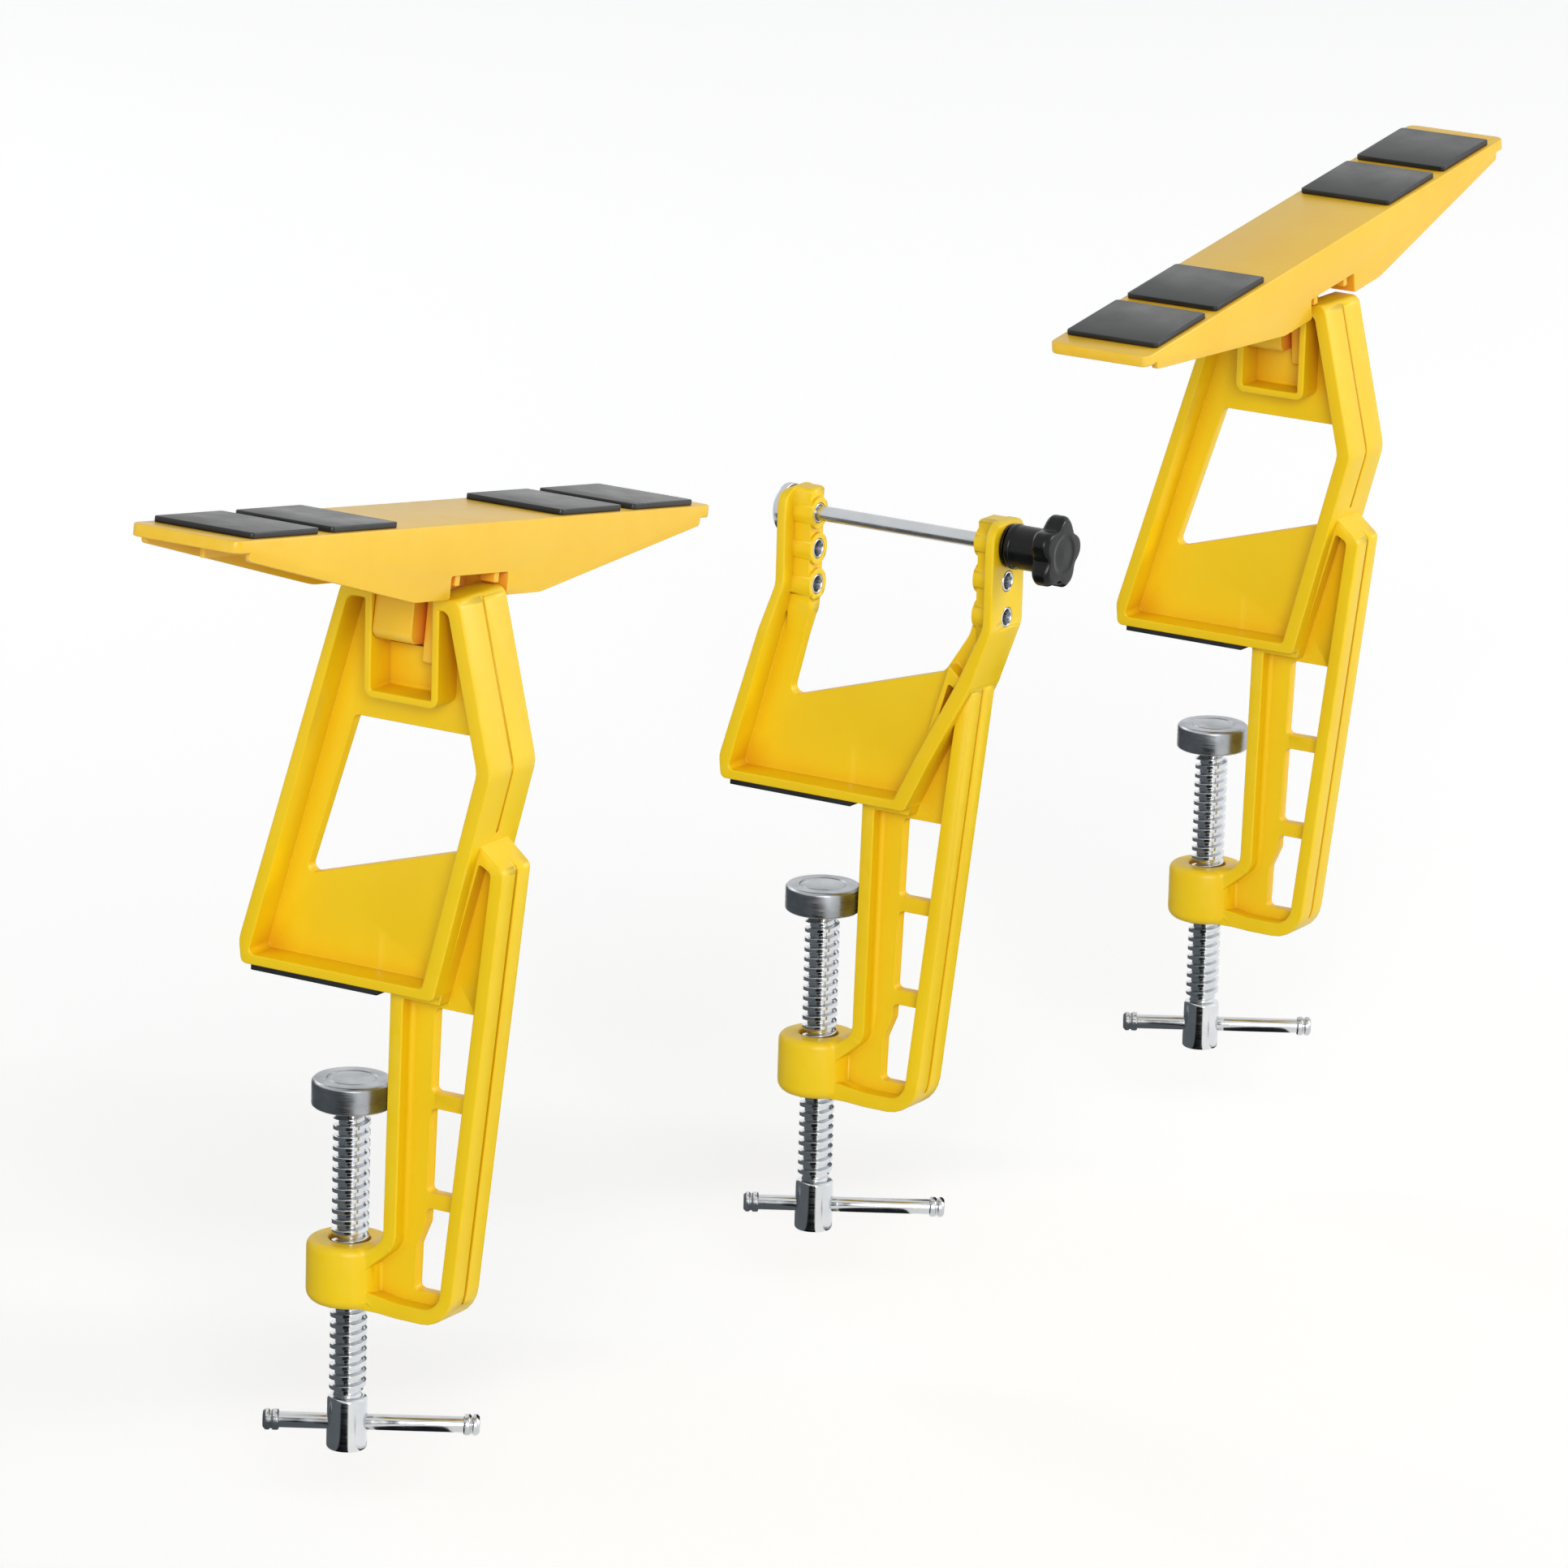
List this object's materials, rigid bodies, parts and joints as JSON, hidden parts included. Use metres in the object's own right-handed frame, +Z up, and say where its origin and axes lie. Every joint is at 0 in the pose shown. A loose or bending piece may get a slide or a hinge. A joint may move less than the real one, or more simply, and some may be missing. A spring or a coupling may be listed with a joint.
{
  "type": "ski tuning vise",
  "caption": "Bench vise set for tuning skis: rocking padded end supports and an open centre jaw with a star knob, each on a C-clamp foot.",
  "frame": {"origin": "centre of the underside of the centre unit's foot strip, on the bench top", "axes": "+X along the bench edge towards the right support, +Y in over the bench, +Z up; the bench edge is at Y = -0.030"},
  "size_m": [0.9358, 0.1447, 0.3795],
  "materials": {
    "moulded_frame": "bright yellow glass-filled nylon, satin",
    "moulded_platform": "warm yellow glass-filled nylon, satin",
    "foot_rubber": "black rubber strip, matt",
    "pad_rubber": "dark grey ribbed friction rubber with black edges",
    "plate_steel": "zinc plated swivel plate",
    "nut_steel": "plain zinc plated nut",
    "screw_steel": "rolled trapezoidal thread, zinc plated",
    "bar_steel": "drawn steel bar, zinc plated",
    "cap_steel": "turned end caps, bright zinc",
    "bush_steel": "thin steel bush",
    "knob_plastic": "black phenolic five-lobed grip",
    "insert_brass": "tapped brass insert"
  },
  "bodies": {
    "vise_set": {"left_frame": "moulded_frame", "centre_frame": "moulded_frame", "right_frame": "moulded_frame", "left_foot_strip": "foot_rubber", "centre_foot_strip": "foot_rubber", "right_foot_strip": "foot_rubber", "left_clamp_nut": "nut_steel", "centre_clamp_nut": "nut_steel", "right_clamp_nut": "nut_steel", "rod_bushes": "bush_steel", "clamp_rod": "bar_steel"},
    "left_plate": {"left_pressure_plate": "plate_steel"},
    "left_screw": {"left_clamp_screw": "screw_steel"},
    "left_bar": {"left_tommy_bar": "bar_steel", "left_bar_caps": "cap_steel"},
    "centre_plate": {"centre_pressure_plate": "plate_steel"},
    "centre_screw": {"centre_clamp_screw": "screw_steel"},
    "centre_bar": {"centre_tommy_bar": "bar_steel", "centre_bar_caps": "cap_steel"},
    "right_plate": {"right_pressure_plate": "plate_steel"},
    "right_screw": {"right_clamp_screw": "screw_steel"},
    "right_bar": {"right_tommy_bar": "bar_steel", "right_bar_caps": "cap_steel"},
    "left_rocker": {"left_platform": "moulded_platform", "left_ski_pads": "pad_rubber"},
    "right_rocker": {"right_platform": "moulded_platform", "right_ski_pads": "pad_rubber"},
    "washer": {"rod_washer": "bush_steel"},
    "knob": {"star_knob": "knob_plastic", "knob_insert": "insert_brass"}
  },
  "joints": [
    {"name": "left_clamp_travel", "type": "slide", "parent": "vise_set", "child": "left_plate", "axis": [0, 0, 1], "range_m": [-0.049, 0.035]},
    {"name": "left_screw_spin", "type": "hinge", "parent": "left_plate", "child": "left_screw", "pos_m": [-0.327, -0.008, -0.17025], "axis": [0, 0, 1], "range_deg": [-4320, 3060]},
    {"name": "left_bar_slide", "type": "slide", "parent": "left_screw", "child": "left_bar", "axis": [0.5225, -0.8526, 0], "range_m": [-0.035, 0.017]},
    {"name": "centre_clamp_travel", "type": "slide", "parent": "vise_set", "child": "centre_plate", "axis": [0, 0, 1], "range_m": [-0.049, 0.035]},
    {"name": "centre_screw_spin", "type": "hinge", "parent": "centre_plate", "child": "centre_screw", "pos_m": [0, -0.008, -0.17025], "axis": [0, 0, 1], "range_deg": [-4320, 3060]},
    {"name": "centre_bar_slide", "type": "slide", "parent": "centre_screw", "child": "centre_bar", "axis": [0.5225, -0.8526, 0], "range_m": [-0.038, 0.014]},
    {"name": "right_clamp_travel", "type": "slide", "parent": "vise_set", "child": "right_plate", "axis": [0, 0, 1], "range_m": [-0.049, 0.035]},
    {"name": "right_screw_spin", "type": "hinge", "parent": "right_plate", "child": "right_screw", "pos_m": [0.314, -0.008, -0.17025], "axis": [0, 0, 1], "range_deg": [-4320, 3060]},
    {"name": "right_bar_slide", "type": "slide", "parent": "right_screw", "child": "right_bar", "axis": [0.5225, -0.8526, 0], "range_m": [-0.033, 0.019]},
    {"name": "left_platform_rock", "type": "hinge", "parent": "vise_set", "child": "left_rocker", "pos_m": [-0.327, -0.036, 0.137], "axis": [0, 1, 0], "range_deg": [-16.4, 0]},
    {"name": "right_platform_rock", "type": "hinge", "parent": "vise_set", "child": "right_rocker", "pos_m": [0.314, -0.036, 0.137], "axis": [0, 1, 0], "range_deg": [0, 16.4]},
    {"name": "knob_travel", "type": "slide", "parent": "vise_set", "child": "washer", "axis": [0, -1, 0], "range_m": [0, 0.0101]},
    {"name": "knob_spin", "type": "hinge", "parent": "washer", "child": "knob", "pos_m": [0, -0.0888, 0.1114], "axis": [0, -1, 0], "range_deg": [0, 3600]}
  ],
  "couplings": [
    {"joint": "left_clamp_travel", "follows": "left_screw_spin", "m_per_rad": 0.00063662},
    {"joint": "centre_clamp_travel", "follows": "centre_screw_spin", "m_per_rad": 0.00063662},
    {"joint": "right_clamp_travel", "follows": "right_screw_spin", "m_per_rad": 0.00063662},
    {"joint": "knob_travel", "follows": "knob_spin", "m_per_rad": 0.00015915}
  ]
}
